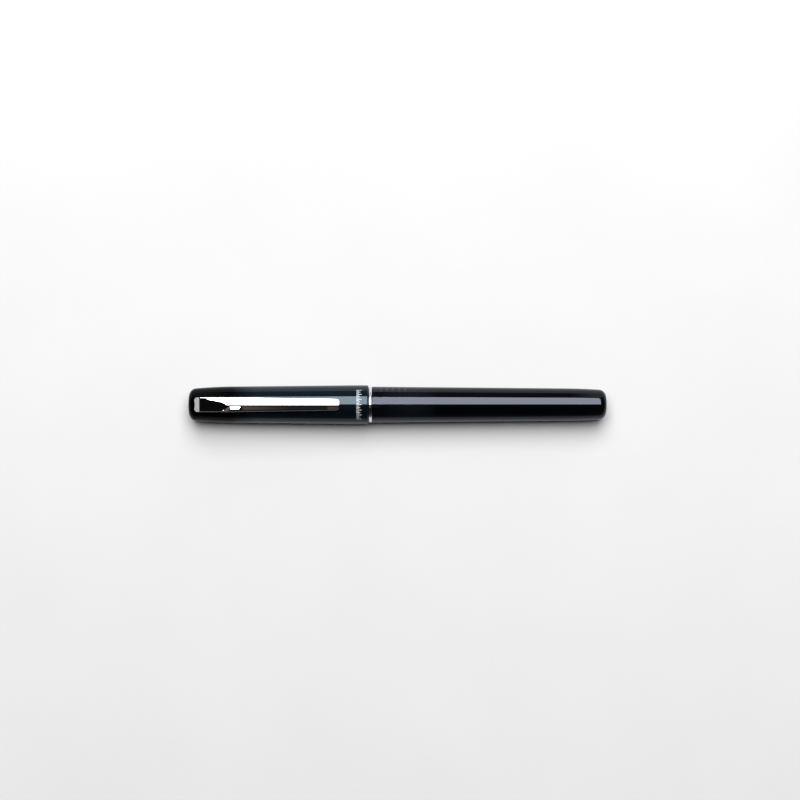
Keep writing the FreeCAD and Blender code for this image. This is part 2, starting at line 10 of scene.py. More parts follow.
import bmesh
import bpy
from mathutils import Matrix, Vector


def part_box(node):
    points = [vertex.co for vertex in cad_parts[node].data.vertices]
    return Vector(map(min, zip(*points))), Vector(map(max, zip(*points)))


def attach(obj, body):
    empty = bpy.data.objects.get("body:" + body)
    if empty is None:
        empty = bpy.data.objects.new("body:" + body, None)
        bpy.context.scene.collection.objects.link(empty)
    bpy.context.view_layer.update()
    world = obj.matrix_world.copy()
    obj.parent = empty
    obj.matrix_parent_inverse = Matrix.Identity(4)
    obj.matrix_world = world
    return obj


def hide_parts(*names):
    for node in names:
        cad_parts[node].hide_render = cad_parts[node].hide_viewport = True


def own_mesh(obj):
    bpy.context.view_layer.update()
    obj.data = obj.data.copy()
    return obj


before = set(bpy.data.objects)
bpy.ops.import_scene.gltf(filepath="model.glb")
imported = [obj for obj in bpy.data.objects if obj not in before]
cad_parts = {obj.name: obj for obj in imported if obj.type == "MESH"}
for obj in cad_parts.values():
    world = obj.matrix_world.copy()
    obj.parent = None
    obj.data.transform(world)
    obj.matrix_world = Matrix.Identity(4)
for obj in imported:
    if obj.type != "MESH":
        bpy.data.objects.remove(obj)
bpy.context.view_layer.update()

MM = 0.001
CAP_LOW, CAP_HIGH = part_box("cap_shell")
BARREL_LOW, BARREL_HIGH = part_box("barrel")
START_X = CAP_LOW.x
AXIS_Z = (CAP_LOW.z + CAP_HIGH.z) / 2

CAP_LENGTH = (CAP_HIGH.x - START_X) / MM
CAP_RADIUS = (CAP_HIGH.z - CAP_LOW.z) / 2 / MM
LENGTH = (BARREL_HIGH.x - START_X) / MM
BARREL_START = (BARREL_LOW.x - START_X) / MM
BARREL_RADIUS = (BARREL_HIGH.z - BARREL_LOW.z) / 2 / MM

# Cap, barrel and ring, in millimetres, with drafts in degrees. A pair is a station and a radius, and a
# slot is two corners of a block, each a station, a sideways distance and a height.
SEGMENTS = 180
END_ROUND = 2.4
CAP_END_RADIUS = 5.42
CAP_END_DRAFT = 4.7
CAP_SHOULDER = ((8.2, 5.83), (14.0, 6.02))
CAP_BAND_START = 55.4
MOUTH_ROUND = 0.5
MOUTH_BEVEL = 0.3
MOUTH_BORE = 5.15
SNAP_BEAD = ((56.5, MOUTH_BORE), (56.2, 5.1), (55.9, 5.1), (55.6, MOUTH_BORE))
GUIDE_BORE = 4.8
GUIDE_START = ((40.4, MOUTH_BORE), (40.0, GUIDE_BORE))
STOP_BEAD = ((16.2, GUIDE_BORE), (15.9, 4.55), (15.5, 4.55), (15.2, GUIDE_BORE))
RETAINER_POCKET = ((12.0, GUIDE_BORE), (12.0, 3.93), (2.4, 3.93), (2.4, 0))
LEG_SLOT = ((1.655, -2.57, 3.255), (3.545, 2.57, 7.2))
FOOT_SLOT = ((2.155, -2.57, 3.155), (5.12, 2.57, 4.245))
BARREL_EDGE = 0.12
BARREL_TAIL = ((124.0, 5.4), (130.4, 5.26))
BARREL_END_RADIUS = 4.98
BARREL_END_DRAFT = 4.0
BARREL_BORE = ((76.0, 4.35), (73.0, 4.95), (BARREL_START, 4.95))
BORE_FLOOR = 134.6
BORE_ROUND = 1.3
BORE_FLAT = 2.6
THREAD_STARTS = 3
THREAD_PITCH = 2.0
THREAD_RUN = (61.4, 71.0)
THREAD_SECTION = ((4.97, -0.35), (4.55, -0.24), (4.55, 0.24), (4.97, 0.35))
RING_SEGMENTS = 240
RING_BORE = 4.9
RING_CROWN = 0.12


def point(s, y, z):
    return Vector((START_X + s * MM, y * MM, AXIS_Z + z * MM))


# Mesh helpers

SHARP_EDGE = 32


def new_object(name, bm, body, replaced=(), sharp=SHARP_EDGE):
    """Makes a smooth-shaded piece from a bmesh, with edges sharper than an angle in degrees kept crisp."""
    bmesh.ops.remove_doubles(bm, verts=bm.verts, dist=1e-7)
    bmesh.ops.recalc_face_normals(bm, faces=bm.faces)
    mesh = bpy.data.meshes.new(name)
    bm.to_mesh(mesh)
    bm.free()
    mesh.shade_smooth()
    mesh.set_sharp_from_angle(angle=math.radians(sharp))
    obj = bpy.data.objects.new(name, mesh)
    bpy.context.scene.collection.objects.link(obj)
    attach(obj, body)
    if replaced:
        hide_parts(*replaced)
    return obj


def arc_round(centre, radius, first, last, count=10):
    """Points of a circle's arc, from one angle to another in degrees, in (station, radius)."""
    points = []
    for i in range(count + 1):
        a = math.radians(first + (last - first) * i / count)
        points.append((centre[0] + radius * math.cos(a), centre[1] + radius * math.sin(a)))
    return points


def arc_through(a, b, c, count=16):
    """Points of the arc that runs from a through b to c."""
    (ax, ay), (bx, by), (cx, cy) = a, b, c
    d = 2 * (ax * (by - cy) + bx * (cy - ay) + cx * (ay - by))
    sa, sb, sc = ax * ax + ay * ay, bx * bx + by * by, cx * cx + cy * cy
    centre_x = (sa * (by - cy) + sb * (cy - ay) + sc * (ay - by)) / d
    centre_y = (sa * (cx - bx) + sb * (ax - cx) + sc * (bx - ax)) / d
    radius = math.dist(a, (centre_x, centre_y))
    first = math.degrees(math.atan2(ay - centre_y, ax - centre_x))
    last = math.degrees(math.atan2(cy - centre_y, cx - centre_x))
    last += 360 * round((first - last) / 360)
    return arc_round((centre_x, centre_y), radius, first, last, count)


def line_to(a, b, count=12):
    """Points along the straight line from a to b, without a."""
    shares = [i / count for i in range(1, count + 1)]
    return [(a[0] + (b[0] - a[0]) * share, a[1] + (b[1] - a[1]) * share) for share in shares]


def join_rows(bm, here, there):
    """Faces between two closed rows of the same number of vertices."""
    for i in range(len(here)):
        j = (i + 1) % len(here)
        bm.faces.new([here[i], here[j], there[j], there[i]])


def lathe(bm, outline, segments=SEGMENTS):
    """Turns a closed outline of (station, radius) about the pen's axis."""
    rings = []
    for s, r in outline:
        if r < 1e-6:
            rings.append([bm.verts.new(point(s, 0, 0))])
            continue
        ring = []
        for i in range(segments):
            a = 2 * math.pi * i / segments
            ring.append(bm.verts.new(point(s, r * math.sin(a), r * math.cos(a))))
        rings.append(ring)
    for here, there in zip(rings, rings[1:] + rings[:1]):
        if len(here) == 1 and len(there) == 1:
            continue
        for i in range(segments):
            j = (i + 1) % segments
            corners = [here[i % len(here)], here[j % len(here)]]
            corners += [there[j % len(there)], there[i % len(there)]]
            bm.faces.new(list(dict.fromkeys(corners)))


def helix_strip(bm, section, lead, run, phase, steps_per_turn=72):
    """Sweeps an open section of (radius, station offset) points along a right-handed screw."""
    steps = max(2, round((run[1] - run[0]) / lead * steps_per_turn))
    previous = None
    for i in range(steps + 1):
        share = i / steps
        s = run[0] + (run[1] - run[0]) * share
        a = phase + 2 * math.pi * (s - run[0]) / lead
        row = []
        for r, offset in section:
            row.append(bm.verts.new(point(s + offset, r * math.sin(a), -r * math.cos(a))))
        if previous:
            for j in range(len(row) - 1):
                bm.faces.new([previous[j], previous[j + 1], row[j + 1], row[j]])
        previous = row


# Shells

def cap_outline():
    """The cap's outside from its closed end to its mouth, and its bore back to the end."""
    flat = CAP_END_RADIUS - END_ROUND
    points = [(0, 0), (0, flat * 0.5)]
    points += arc_round((END_ROUND, flat), END_ROUND, 180, 90 + CAP_END_DRAFT, 14)
    points += arc_through(points[-1], *CAP_SHOULDER)[1:]
    points += line_to(CAP_SHOULDER[1], (CAP_BAND_START, CAP_RADIUS))
    corner = (CAP_LENGTH - MOUTH_ROUND, CAP_RADIUS - MOUTH_ROUND)
    points += arc_round(corner, MOUTH_ROUND, 90, 0, 8)
    points += [(CAP_LENGTH, MOUTH_BORE + MOUTH_BEVEL), (CAP_LENGTH - MOUTH_BEVEL, MOUTH_BORE)]
    return [*points, *SNAP_BEAD, *GUIDE_START, *STOP_BEAD, *RETAINER_POCKET]


def slot_cutter():
    """The two blocks that open the cap's end for the clip's leg and foot."""
    bm = bmesh.new()
    for corners in (LEG_SLOT, FOOT_SLOT):
        lowest, highest = (point(*corner) for corner in corners)
        made = bmesh.ops.create_cube(bm, size=1)
        for v in made["verts"]:
            v.co = Vector((low + (high - low) * (c + 0.5) for low, high, c in zip(lowest, highest, v.co)))
    mesh = bpy.data.meshes.new("slot_cutter")
    bm.to_mesh(mesh)
    bm.free()
    return bpy.data.objects.new("slot_cutter", mesh)


def combine(obj, tool, operation):
    """Cuts a tool out of obj or joins it to obj, and leaves the result in obj's mesh."""
    bpy.context.scene.collection.objects.link(tool)
    boolean = obj.modifiers.new("combine", "BOOLEAN")
    boolean.operation = operation
    boolean.solver = "EXACT"
    boolean.use_self = True
    boolean.object = tool
    shape = obj.evaluated_get(bpy.context.evaluated_depsgraph_get())
    mesh = bpy.data.meshes.new_from_object(shape)
    obj.modifiers.clear()
    obj.data = mesh
    mesh.set_sharp_from_angle(angle=math.radians(SHARP_EDGE))
    bpy.data.objects.remove(tool)


def make_cap():
    bm = bmesh.new()
    lathe(bm, cap_outline())
    cap = new_object("cap_body", bm, "cap", ["cap_shell"])
    combine(cap, slot_cutter(), "DIFFERENCE")


def barrel_outline():
    """The barrel's outside from its mouth to its closed end, and its bore back to the mouth."""
    flat = BARREL_END_RADIUS - END_ROUND
    edge_end = BARREL_START + BARREL_EDGE
    points = arc_round((edge_end, BARREL_RADIUS - BARREL_EDGE), BARREL_EDGE, 180, 90, 5)
    points += line_to((edge_end, BARREL_RADIUS), BARREL_TAIL[0])
    corner = arc_round((LENGTH - END_ROUND, flat), END_ROUND, 90 - BARREL_END_DRAFT, 0, 14)
    points += arc_through(BARREL_TAIL[0], BARREL_TAIL[1], corner[0])[1:]
    points += corner[1:]
    points += [(LENGTH, flat * 0.5), (LENGTH, 0), (BORE_FLOOR, 0)]
    points += arc_round((BORE_FLOOR - BORE_ROUND, BORE_FLAT), BORE_ROUND, 0, 90, 8)
    return [*points, *BARREL_BORE]


def make_barrel():
    bm = bmesh.new()
    lathe(bm, barrel_outline())
    for i in range(THREAD_STARTS):
        phase = 2 * math.pi * (i + 0.5) / THREAD_STARTS
        helix_strip(bm, THREAD_SECTION, THREAD_STARTS * THREAD_PITCH, THREAD_RUN, phase)
    new_object("barrel_body", bm, "barrel", ["barrel"])


def make_ring():
    low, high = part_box("trim_ring")
    start, end = (low.x - START_X) / MM, (high.x - START_X) / MM
    radius = (high.z - low.z) / 2 / MM
    edge = radius - RING_CROWN
    outline = [(start, RING_BORE)]
    outline += arc_through((start, edge), ((start + end) / 2, radius), (end, edge), 14)
    outline += [(end, RING_BORE)]
    bm = bmesh.new()
    lathe(bm, outline, RING_SEGMENTS)
    new_object("ring_band", bm, "ring", ["trim_ring"])


# Clip: its plan, the rounding of its edges by side, and its corners as (station, height), which are on the
# strip's middle line in the foot and on its top in the head, with the radius of each bend

CLIP_SHEET = 0.65
CLIP_ROOT_HALF = 2.38
CLIP_TIP_HALF = 1.85
CLIP_CORNER = 1.1
CLIP_FRONT = 1.65
CLIP_SHOULDER = 2.85
CLIP_BAR_START = 13.6
CLIP_END = 49.9
CLIP_EDGES = {1: 0.09, -1: 0.17}
CLIP_TIP_EDGE = 0.17
FOOT_TURN = ((5.0, 3.7), (2.6, 3.7), (2.25, 4.85))
HEAD_CORNERS = ((4.33, 7.3), (12.1, 7.4), (14.3, 7.65), (46.0, 7.4), (CLIP_END, 7.45))
BEND_RADII = (0.45, 0.45, 0.45, 3.0, 3.0, 6.0)
LOWEST_HEAD = 5.4

# The clip's top: past the two sides of its flat, given as (station, y), it falls away in a round crown
CLIP_CROWN_RADIUS = 9.3
CLIP_APEX = -0.25
FLAT_NEAR_SIDE = ((6.2, 3.0), (6.6, 1.6), (8.5, 1.2), (11.0, 0.76), (12.3, 0.3), (12.9, CLIP_APEX))
FLAT_FAR_SIDE = ((5.4, -2.3), (11.2, -2.2), (13.9, CLIP_APEX))

# What the press leaves on it: a facet, faded in and out along and across the clip, and two pips
CLIP_PRESSED_END = 18.2
FACET_RISE = 0.18
FACET_ALONG = ((14.0, 0), (14.2, 1), (16.8, 0.95), (18.1, 0))
FACET_ACROSS = ((-1.9, 0), (-1.6, 1), (-0.65, 0))
PIP_STATION = 11.9
PIP_SIDE = 1.95
PIP_RADIUS = 0.15
PIP_RISE = 0.016

# The boss under its tip
BOSS_STATION = 46.6
BOSS_RADIUS = 1.2
BOSS_TOP = 7.0
BOSS_GAP = 0.05


def turned_by(v, angle):
    cosine, sine = math.cos(angle), math.sin(angle)
    return Vector((v.x * cosine - v.y * sine, v.x * sine + v.y * cosine))


def clip_path():
    """The strip's middle line from foot to tip, as (station and height, direction), bends as arcs."""
    corners = [*FOOT_TURN, *((s, top - CLIP_SHEET / 2) for s, top in HEAD_CORNERS)]
    path = []
    here = Vector(corners[0])
    for before, corner, after, radius in zip(corners, corners[1:], corners[2:], BEND_RADII):
        corner = Vector(corner)
        arriving = (corner - Vector(before)).normalized()
        leaving = (Vector(after) - corner).normalized()
        turn = arriving.angle_signed(leaving)
        cut_back = radius * math.tan(abs(turn) / 2)
        first = corner - arriving * cut_back
        path += straight(here, first)
        steps = max(3, math.ceil(math.degrees(abs(turn)) / 5))
        side = Vector((-arriving.y, arriving.x)) * (-1 if turn > 0 else 1)
        centre = first + side * radius
        for i in range(1, steps):
            angle = -turn * i / steps
            path.append((centre + turned_by(first - centre, angle), turned_by(arriving, angle)))
        here = corner + leaving * cut_back
    path += straight(here, Vector(corners[-1]))
    return path


def straight(start, end):
    """Points along a straight run of the strip, closer together where it is pressed and at its tip."""
    run = end - start
    tangent = run.normalized()
    near_tip = CLIP_END - CLIP_CORNER
    shares = []
    done = 0.0
    while done < run.length:
        shares.append(done / run.length)
        done += 0.15 if start.x + run.x * shares[-1] < CLIP_PRESSED_END else 0.8
    if end.x > near_tip:
        shares = [share for share in shares if start.x + run.x * share < near_tip - 0.05]
        rounding = [near_tip + CLIP_CORNER * math.sin(math.pi / 2 * i / 12) for i in range(12)]
        shares += [(s - start.x) / run.x for s in rounding]
    return [(start + run * share, tangent) for share in (*shares, 1.0)]


def clip_half_width(s):
    """Half of the strip's width in plan: a round front, parallel sides, a taper and a round tip."""
    if s < CLIP_SHOULDER:
        rise = CLIP_SHOULDER - CLIP_FRONT
        radius = (rise ** 2 + CLIP_ROOT_HALF ** 2) / (2 * rise)
        return math.sqrt(max(0.0, radius ** 2 - (CLIP_FRONT + radius - s) ** 2))
    near_tip = CLIP_END - CLIP_CORNER
    if s > near_tip:
        along = min(s - near_tip, CLIP_CORNER)
        return CLIP_TIP_HALF - CLIP_CORNER + math.sqrt(CLIP_CORNER ** 2 - along ** 2)
    share = max(0.0, (s - CLIP_BAR_START) / (near_tip - CLIP_BAR_START))
    return CLIP_ROOT_HALF + (CLIP_TIP_HALF - CLIP_ROOT_HALF) * share


def through(value, *pairs):
    """The height at value of the line through pairs of (value, height), level beyond its ends."""
    if value <= pairs[0][0]:
        return pairs[0][1]
    for (a, low), (b, high) in zip(pairs, pairs[1:]):
        if value <= b:
            return low + (high - low) * (value - a) / (b - a)
    return pairs[-1][1]


def clip_drop(s, y):
    """How far the crown takes the strip's top down at a station and a sideways distance."""
    over = max(0.0, y - through(s, *FLAT_NEAR_SIDE), through(s, *FLAT_FAR_SIDE) - y)
    return over ** 2 / (2 * CLIP_CROWN_RADIUS)


def clip_pressing(s, y):
    """How far the facet and the pips raise the strip's top at a station and a sideways distance."""
    facet = through(s, *FACET_ALONG)
    facet *= through(y, *FACET_ACROSS)
    rise = FACET_RISE * facet
    for side in (-1, 1):
        away = math.hypot(s - PIP_STATION, y - side * PIP_SIDE) / PIP_RADIUS
        rise += PIP_RISE * max(0.0, 1 - away ** 2) ** 2
    return rise


def clip_section(s, half):
    """Points round the strip, as (y, height): crowned top, rounded edges and a following underside."""
    soft = {side: min(edge, half * 0.3) for side, edge in CLIP_EDGES.items()}
    flat = {side: half - soft[side] for side in soft}
    thick = CLIP_SHEET / 2
    past_tip = max(0.0, s - (CLIP_END - CLIP_TIP_EDGE))
    tip_drop = CLIP_TIP_EDGE - math.sqrt(max(0.0, CLIP_TIP_EDGE ** 2 - past_tip ** 2))
    top = []
    for i in range(57):
        y = flat[1] - (flat[1] + flat[-1]) * i / 56
        top.append((y, thick - tip_drop - clip_drop(s, y) + clip_pressing(s, y)))
    under = [(y, -thick - clip_drop(s, y)) for y, _ in top[::-4]]
    sides = []
    for side, (_, high), (_, low) in ((1, top[0], under[-1]), (-1, top[-1], under[0])):
        turn, out = soft[side], flat[side]
        edge = []
        for a in map(math.radians, (22.5, 45, 67.5, 90)):
            edge.append((side * (out + turn * math.sin(a)), low + turn - turn * math.cos(a)))
        for a in map(math.radians, (0, 15, 30, 45, 60, 75)):
            edge.append((side * (out + turn * math.cos(a)), high - turn + turn * math.sin(a)))
        sides.append(edge)
    return sides[0] + top + sides[1][::-1] + under


def clip_boss():
    """The small ball pressed into the strip's underside, which holds paper or cloth to the cap."""
    bm = bmesh.new()
    bmesh.ops.create_uvsphere(bm, u_segments=48, v_segments=24, radius=BOSS_RADIUS * MM)
    middle = point(BOSS_STATION, 0, CAP_RADIUS + BOSS_GAP + BOSS_RADIUS)
    bmesh.ops.translate(bm, verts=bm.verts, vec=middle)
    level = point(BOSS_STATION, 0, BOSS_TOP)
    cut = bmesh.ops.bisect_plane(bm, geom=[*bm.verts, *bm.edges, *bm.faces], plane_co=level,
                                 plane_no=(0, 0, 1), clear_outer=True)
    bmesh.ops.edgeloop_fill(bm, edges=[e for e in cut["geom_cut"] if isinstance(e, bmesh.types.BMEdge)])
    mesh = bpy.data.meshes.new("clip_boss")
    bm.to_mesh(mesh)
    bm.free()
    return bpy.data.objects.new("clip_boss", mesh)


def make_clip():
    bm = bmesh.new()
    rows = []
    for place, tangent in clip_path():
        in_head = tangent.x > 0 and place.y > LOWEST_HEAD
        s = place.x if in_head else 0.0
        half = clip_half_width(place.x) if in_head and place.x > CLIP_SHOULDER else CLIP_ROOT_HALF
        outward = Vector((-tangent.y, tangent.x))
        row = []
        for y, h in clip_section(s, half):
            across = place + outward * h
            limit = clip_half_width(across.x)
            row.append(bm.verts.new(point(across.x, max(-limit, min(limit, y)), across.y)))
        rows.append(row)
    for here, there in zip(rows, rows[1:]):
        join_rows(bm, here, there)
    bm.faces.new(rows[0])
    bm.faces.new(rows[-1])
    clip = new_object("clip_strip", bm, "clip", ["clip"], sharp=40)
    combine(clip, clip_boss(), "UNION")


# Spring and ticks, in millimetres, with the spread of the ticks in degrees

SPRING_TURNS = 3.5
SPRING_RADIUS = 2.4
SPRING_WIRE_RADIUS = 0.25
SPRING_STEPS = 240
SPRING_SEGMENTS = 14
TICKS = 25
TICK_SPREAD = 95
TICK_START = 55.45
TICK_HALF_WIDTH = 0.065
TICK_LENGTHS = (1.75, 0.9, 1.3, 0.9)
PRINT_THICKNESS = 0.004


def make_spring():
    """The coil behind the inner cap, filling the box of the CAD spring that it stands in for."""
    low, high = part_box("inner_cap_spring")
    wire = SPRING_WIRE_RADIUS
    start = (low.x - START_X) / MM + wire
    end = (high.x - START_X) / MM - wire
    bm = bmesh.new()
    rows = []
    for i in range(SPRING_STEPS + 1):
        a = 2 * math.pi * SPRING_TURNS * i / SPRING_STEPS
        s = start + (end - start) * i / SPRING_STEPS
        row = []
        for j in range(SPRING_SEGMENTS):
            b = 2 * math.pi * j / SPRING_SEGMENTS
            r = SPRING_RADIUS + wire * math.cos(b)
            row.append(bm.verts.new(point(s + wire * math.sin(b), r * math.sin(a), -r * math.cos(a))))
        rows.append(row)
    for here, there in zip(rows, rows[1:]):
        join_rows(bm, here, there)
    bm.faces.new(rows[0])
    bm.faces.new(rows[-1])
    spring = new_object("spring_coil", bm, "cap", ["inner_cap_spring"], sharp=60)
    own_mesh(spring)


def make_marks():
    """A plain scale of short ticks printed round the cap near its mouth."""
    bm = bmesh.new()
    radius = CAP_RADIUS + PRINT_THICKNESS
    for i in range(TICKS):
        middle = math.radians(-TICK_SPREAD / 2 + TICK_SPREAD * i / (TICKS - 1))
        ends = (TICK_START, TICK_START + TICK_LENGTHS[i % len(TICK_LENGTHS)])
        corners = []
        for j in range(4):
            a = middle + TICK_HALF_WIDTH / radius * (2 * j / 3 - 1)
            corners.append([point(s, radius * math.sin(a), radius * math.cos(a)) for s in ends])
        for here, there in zip(corners, corners[1:]):
            bm.faces.new([bm.verts.new(p) for p in (*here, *reversed(there))])
    new_object("cap_ticks", bm, "cap")


# Materials

class Nodes:
    """A small wrapper for building a material's node tree in few lines."""

    def __init__(self, name):
        self.material = bpy.data.materials.new(name)
        self.material.use_nodes = True
        self.tree = self.material.node_tree
        self.shader = self.tree.nodes["Principled BSDF"]
        self.coords = self.tree.nodes.new("ShaderNodeTexCoord").outputs["Object"]

    def add(self, kind, inputs=None, **settings):
        node = self.tree.nodes.new("ShaderNode" + kind)
        for key, value in settings.items():
            setattr(node, key, value)
        for key, value in (inputs or {}).items():
            self.feed(node.inputs[key], value)
        return node

    def feed(self, socket, value):
        if isinstance(value, bpy.types.NodeSocket):
            self.tree.links.new(value, socket)
        else:
            socket.default_value = value

    def set(self, **inputs):
        """Feeds the shader's sockets, named with underscores for spaces."""
        for key, value in inputs.items():
            self.feed(self.shader.inputs[key.replace("_", " ")], value)

    def stretched(self, scale):
        """Object coordinates times a scale for each axis; a scale of 1000 makes them millimetres."""
        mapping = self.add("Mapping", {"Vector": self.coords, "Scale": scale})
        return mapping.outputs["Vector"]

    def noise(self, scale, detail=4.0, roughness=0.55, stretch=(1000, 1000, 1000)):
        vector = self.stretched(stretch)
        made = self.add("TexNoise", {"Vector": vector, "Scale": scale, "Detail": detail,
                                     "Roughness": roughness})
        return made.outputs["Fac"]

    def spread(self, value, low, high, start=0.3, end=0.7):
        """A value between start and end taken to between low and high, and kept there past its ends."""
        made = self.add("MapRange", {"Value": value, "From Min": start, "From Max": end,
                                     "To Min": low, "To Max": high})
        return made.outputs["Result"]

    def across(self):
        """The sideways distance from the pen's axis, in metres."""
        return self.add("SeparateXYZ", {"Vector": self.coords}).outputs["Y"]

    def along(self, start, end, low=0.0, high=1.0):
        """A value that goes from low to high between two stations of the pen."""
        x = self.add("SeparateXYZ", {"Vector": self.coords}).outputs["X"]
        return self.spread(x, low, high, START_X + start * MM, START_X + end * MM)

    def painted_thread_glints(self, start, end):
        """Painted glints: light spots between two stations on the side of +Y, for a thread under the wall.
        """
        x = self.add("SeparateXYZ", {"Vector": self.coords}).outputs["X"]
        phase = self.product(x, 2 * math.pi / (THREAD_PITCH * MM))
        wave = self.add("Math", operation="SINE")
        self.feed(wave.inputs[0], phase)
        ridges = self.spread(wave.outputs[0], 0.0, 1.0, 0.1, 0.9)
        near_edge = self.spread(self.across(), 0.0, 1.0, *PAINTED_GLINT_EDGE)
        run = self.product(self.along(start, start + 1.0), self.along(end - 1.0, end, 1.0, 0.0))
        return self.product(self.product(ridges, near_edge), run)

    def product(self, first, second):
        made = self.add("Math", operation="MULTIPLY")
        self.feed(made.inputs[0], first)
        self.feed(made.inputs[1], second)
        return made.outputs[0]

    def blend(self, factor, first, second):
        made = self.add("Mix", data_type="RGBA")
        self.feed(made.inputs[0], factor)
        self.feed(made.inputs[6], (*first, 1) if isinstance(first, tuple) else first)
        self.feed(made.inputs[7], (*second, 1) if isinstance(second, tuple) else second)
        return made.outputs[2]

    def bump(self, height, strength, distance):
        made = self.add("Bump", {"Height": height, "Strength": strength, "Distance": distance * MM})
        self.set(Normal=made.outputs["Normal"])


RESIN_INDEX = 1.44
# The sideways span over which the resins' painted shade fades from the side of -Y to full colour.
LIT_SIDE = (-2.5 * MM, 4.5 * MM)
# Colour of the painted glints, and the sideways span near the edge on +Y where they fade in.
PAINTED_GLINT = (0.032, 0.034, 0.039)
PAINTED_GLINT_EDGE = (4.1 * MM, 4.9 * MM)


def resin(name, first, second, fade, see_through, polish, tint, shade, turns=()):
    """Polished dark resin, darker over one stretch than over the next, as what lies under it changes.

    first and second are the colours, see_through the transmission and polish the strength of
    reflections before and after the fade between its two stations. shade is how much of the colour is
    left on the side of -Y, away from the light, as painted shade that fades out towards +Y, and turns
    is the stretch where painted glints stand for a thread underneath catching the light.
    """
    m = Nodes(name)
    colour = m.blend(m.along(*fade), first, second)
    # Painted shade: the colour is darker on the side of -Y, away from the light.
    painted_shade = m.spread(m.across(), shade, 1.0, *LIT_SIDE)
    cloudy_with_painted_light = m.blend(m.product(m.spread(m.noise(0.12), 0.75, 1.0), painted_shade), (0, 0, 0), colour)
    clear = m.along(*fade, *see_through)
    # Painted glints of a thread under the wall: lighter spots laid into the colour.
    if turns:
        glints = m.painted_thread_glints(*turns)
        cloudy_with_painted_light = m.blend(glints, cloudy_with_painted_light, PAINTED_GLINT)
        clear = m.product(clear, m.spread(glints, 1.0, 0.0, 0.0, 1.0))
    m.set(Base_Color=cloudy_with_painted_light, IOR=RESIN_INDEX, Specular_Tint=(*tint, 1))
    m.set(Specular_IOR_Level=m.along(*fade, *polish), Transmission_Weight=clear)
    hairlines = m.noise(1.0, 3, 0.6, (120, 5200, 5200))
    m.set(Roughness=m.spread(hairlines, 0.012, 0.035, 0.5, 0.8))
    m.bump(m.noise(0.22, 1), 0.006, 0.05)
    return m.material


def steel(name, tone, rough, grain=(40, 2600, 2600), bump=0.012):
    """Polished steel: fine lengthwise grain, a few cloudy wipe marks and hairline scratches."""
    m = Nodes(name)
    darker = tuple(c * 0.93 for c in tone)
    m.set(Base_Color=m.blend(m.spread(m.noise(0.4), 0, 1), darker, tone), Metallic=1.0)
    lines = m.noise(1.0, 4, 0.6, grain)
    m.set(Roughness=m.spread(lines, *rough, 0.4, 0.75))
    m.bump(lines, bump, 0.02)
    return m.material


def plastic(name, deep, pale, rough, grain=2.2, bump=0.05, **extra):
    """Moulded plastic with a fine matt texture and slight unevenness of colour."""
    m = Nodes(name)
    m.set(Base_Color=m.blend(m.spread(m.noise(0.5), 0, 1), deep, pale))
    m.set(Roughness=m.spread(m.noise(1.3, 5), *rough))
    m.set(**extra)
    m.bump(m.noise(grain * 3, 3), bump, 0.03)
    return m.material


